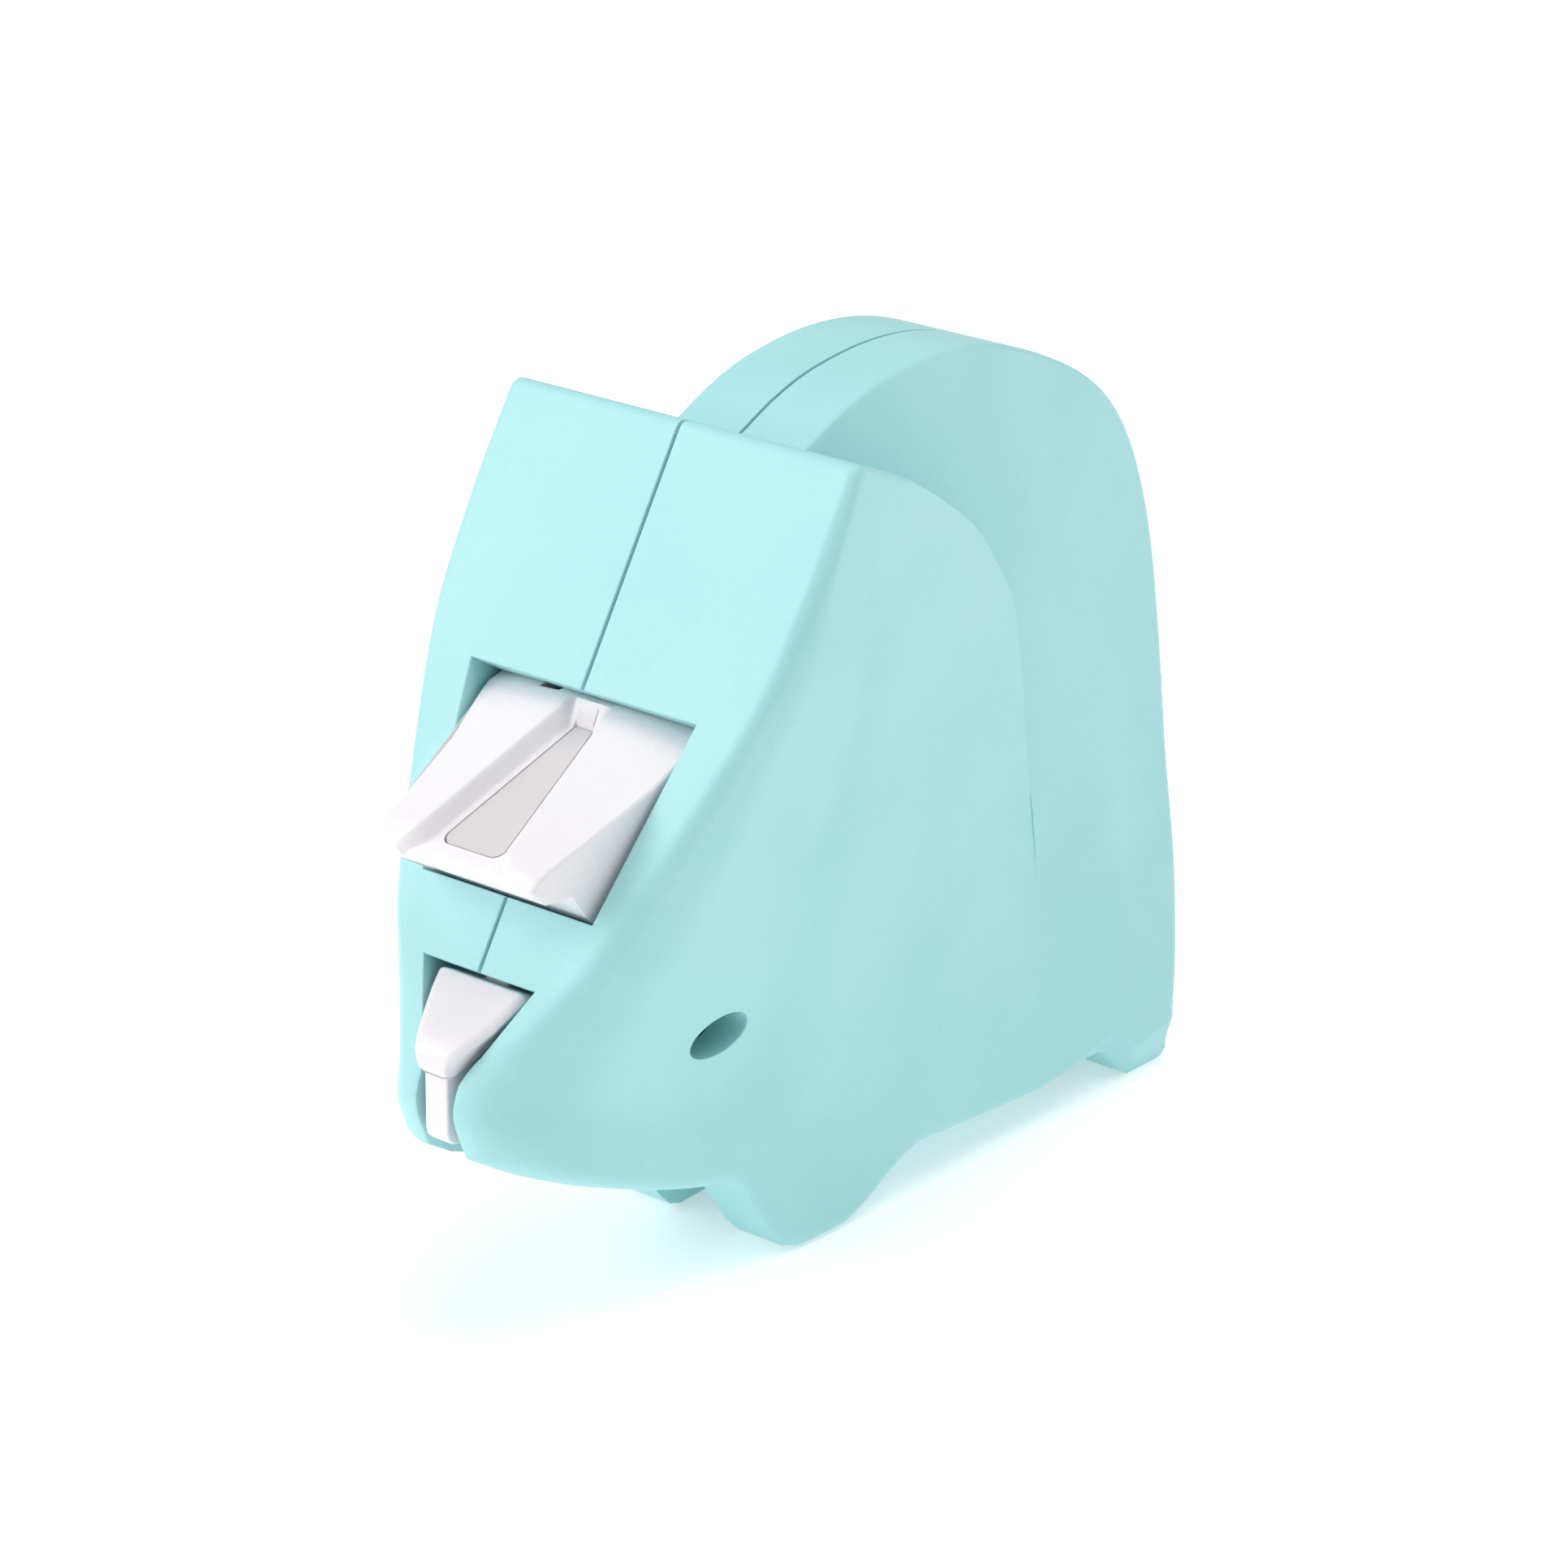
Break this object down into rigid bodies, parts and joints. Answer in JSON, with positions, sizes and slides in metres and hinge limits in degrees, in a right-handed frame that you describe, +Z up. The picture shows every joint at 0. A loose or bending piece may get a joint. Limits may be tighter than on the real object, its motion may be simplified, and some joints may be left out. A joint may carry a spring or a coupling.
{
  "type": "tape dispenser",
  "caption": "Hand tape dispenser shaped like a small rhino, with two press levers in its sloping face, a reel in the domed back and a side that swings open.",
  "frame": {"origin": "on the table plane, below the middle of the overall box", "axes": "+Z up, -Y towards the nose and levers, +Y towards the tail, +X towards the side that swings open"},
  "size_m": [0.0408, 0.1059, 0.0794],
  "materials": {
    "shell": "pale aqua moulded plastic with a fine satin skin",
    "lever": "white moulded plastic, smooth satin",
    "frame": "natural light grey moulded plastic",
    "steel": "plain drawn and stamped steel",
    "brass": "turned brass",
    "rubber": "soft matt black rubber",
    "card": "wound brown board",
    "tape": "wound cream masking tape, faint edge lines",
    "ballast": "as-cast dark iron"
  },
  "bodies": {
    "base": {"left_shell": "shell", "inner_frame": "frame", "frame_screw_1": "steel", "frame_screw_2": "steel", "frame_screw_3": "steel", "feed_bush_left": "brass", "feed_bush_right": "brass", "feed_lever_pin": "steel", "cutter_lever_pin": "steel", "pinch_pin": "steel", "idler_pin": "steel", "reel_axle": "frame", "reel_cap": "frame", "reel_cap_screw": "steel", "feed_spring": "steel", "cutter_spring": "steel", "tape_guide": "frame", "ballast_weight": "ballast", "ballast_screw_1": "steel", "ballast_screw_2": "steel", "hinge_pin": "steel", "tail": "shell"},
    "cover": {"right_shell": "shell"},
    "feed_lever": {"feed_lever": "lever", "feed_lever_insert": "lever", "sector_gear": "frame"},
    "cutter_lever": {"cutter_lever": "lever", "cutter_blade": "steel", "blade_rivet_left": "steel", "blade_rivet_right": "steel"},
    "feed_roller": {"feed_roller": "rubber", "feed_shaft": "steel", "feed_pinion": "brass"},
    "pinch_roller": {"pinch_roller": "lever"},
    "idler_roller": {"idler_roller": "lever"},
    "reel": {"reel_hub": "lever", "tape_core": "card", "tape_roll": "tape"}
  },
  "joints": [
    {"name": "cover_hinge", "type": "hinge", "parent": "base", "child": "cover", "pos_m": [0, 0.0437, 0.033], "axis": [0, 0, 1], "range_deg": [0, 75]},
    {"name": "feed_lever_press", "type": "hinge", "parent": "base", "child": "feed_lever", "pos_m": [0, -0.0235, 0.059], "axis": [1, 0, 0], "range_deg": [0, 7.5], "stiffness_Nm_per_rad": 0.3, "springref_deg": -11.46},
    {"name": "cutter_lever_press", "type": "hinge", "parent": "base", "child": "cutter_lever", "pos_m": [0, -0.0406, 0.0352], "axis": [1, 0, 0], "range_deg": [0, 6], "stiffness_Nm_per_rad": 0.5, "springref_deg": -8.59},
    {"name": "feed_roller_turn", "type": "hinge", "parent": "base", "child": "feed_roller", "pos_m": [0, -0.027, 0.03349], "axis": [1, 0, 0], "range_deg": [-48, 0]},
    {"name": "pinch_roller_turn", "type": "hinge", "parent": "base", "child": "pinch_roller", "pos_m": [0, -0.02949, 0.02453], "axis": [1, 0, 0], "range_deg": [0, 75]},
    {"name": "idler_roller_turn", "type": "hinge", "parent": "base", "child": "idler_roller", "pos_m": [0, -0.016, 0.0209], "axis": [1, 0, 0], "range_deg": [0, 132]},
    {"name": "reel_turn", "type": "hinge", "parent": "base", "child": "reel", "pos_m": [0, 0.009, 0.042], "axis": [1, 0, 0], "range_deg": [-9.8, 0]}
  ],
  "couplings": [
    {"joint": "feed_roller_turn", "follows": "feed_lever_press", "ratio": -6.3571},
    {"joint": "pinch_roller_turn", "follows": "feed_lever_press", "ratio": 9.9898},
    {"joint": "idler_roller_turn", "follows": "feed_lever_press", "ratio": 17.482},
    {"joint": "reel_turn", "follows": "feed_lever_press", "ratio": -1.295}
  ]
}
